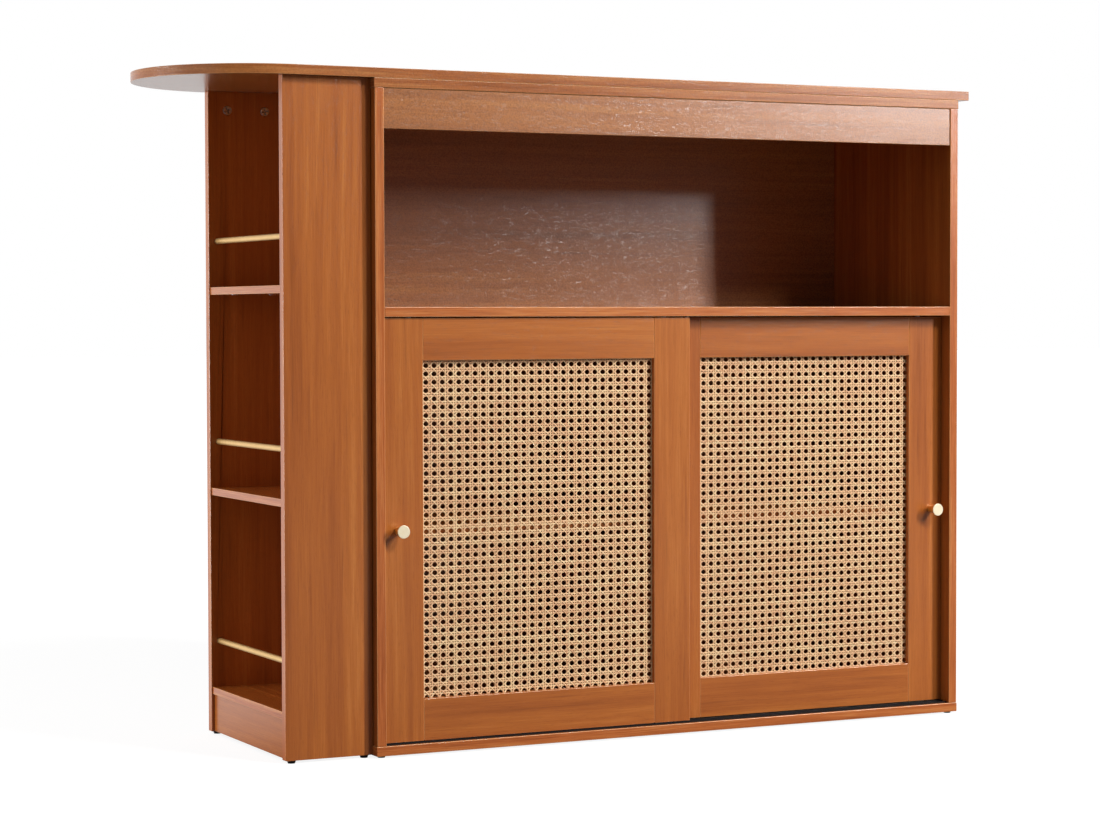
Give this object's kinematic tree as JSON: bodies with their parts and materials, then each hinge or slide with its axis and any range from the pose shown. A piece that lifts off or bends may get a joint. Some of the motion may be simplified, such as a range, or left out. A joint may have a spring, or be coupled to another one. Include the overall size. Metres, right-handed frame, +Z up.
{
  "type": "bar counter with shelves",
  "caption": "Bar counter: long worktop with a round end over a cabinet with an open compartment and sliding cane doors, and an open end shelf unit with gallery rails.",
  "frame": {"origin": "on the floor, under the middle of the whole object's box", "axes": "+X along the worktop away from its round end, +Y to the back, away from the sliding doors, +Z up"},
  "size_m": [1.4, 0.398, 1.053],
  "materials": {
    "board": "laminated board with a satin cherry wood grain",
    "door_frame": "laminated board with a satin cherry wood grain",
    "cane": "open woven natural cane webbing",
    "brass": "satin brass plate",
    "zinc": "die-cast zinc",
    "black_plastic": "matt black moulded plastic",
    "nylon": "off-white nylon"
  },
  "bodies": {
    "cabinet": {"worktop": "board", "cabinet_top_panel": "board", "cabinet_bottom_panel": "board", "cabinet_left_side": "board", "cabinet_right_side": "board", "middle_shelf": "board", "upper_back_panel": "board", "lower_back_panel": "board", "front_apron": "board", "centre_divider": "board", "inner_shelf_left": "board", "inner_shelf_right": "board", "bottom_track": "black_plastic", "cabinet_foot_front_left": "black_plastic", "cabinet_foot_front_right": "black_plastic", "cabinet_foot_rear_left": "black_plastic", "cabinet_foot_rear_right": "black_plastic", "end_front_panel": "board", "end_rear_panel": "board", "end_shelf_upper": "board", "end_shelf_middle": "board", "end_shelf_bottom": "board", "kickboard": "board", "gallery_rail_upper": "brass", "gallery_rail_middle": "brass", "gallery_rail_bottom": "brass", "cam_lock_front_outer": "zinc", "cam_lock_front_inner": "zinc", "cam_lock_rear_outer": "zinc", "cam_lock_rear_inner": "zinc", "shelf_cam_lock_front_outer": "zinc", "shelf_cam_lock_front_inner": "zinc", "shelf_cam_lock_rear_outer": "zinc", "shelf_cam_lock_rear_inner": "zinc", "end_foot_front_outer": "black_plastic", "end_foot_front_inner": "black_plastic", "end_foot_rear_outer": "black_plastic", "end_foot_rear_inner": "black_plastic"},
    "left_door": {"left_door_left_stile": "door_frame", "left_door_right_stile": "door_frame", "left_door_top_rail": "door_frame", "left_door_bottom_rail": "door_frame", "left_door_cane": "cane", "left_door_knob": "brass", "left_door_knob_screw": "zinc", "left_door_left_shoe": "nylon", "left_door_right_shoe": "nylon", "left_door_left_guide": "nylon", "left_door_right_guide": "nylon"},
    "right_door": {"right_door_left_stile": "door_frame", "right_door_right_stile": "door_frame", "right_door_top_rail": "door_frame", "right_door_bottom_rail": "door_frame", "right_door_cane": "cane", "right_door_knob": "brass", "right_door_knob_screw": "zinc", "right_door_left_shoe": "nylon", "right_door_right_shoe": "nylon", "right_door_left_guide": "nylon", "right_door_right_guide": "nylon"}
  },
  "joints": [
    {"name": "left_door_slide", "type": "slide", "parent": "cabinet", "child": "left_door", "axis": [1, 0, 0], "range_m": [0, 0.23]},
    {"name": "right_door_slide", "type": "slide", "parent": "cabinet", "child": "right_door", "axis": [1, 0, 0], "range_m": [-0.23, 0]}
  ]
}
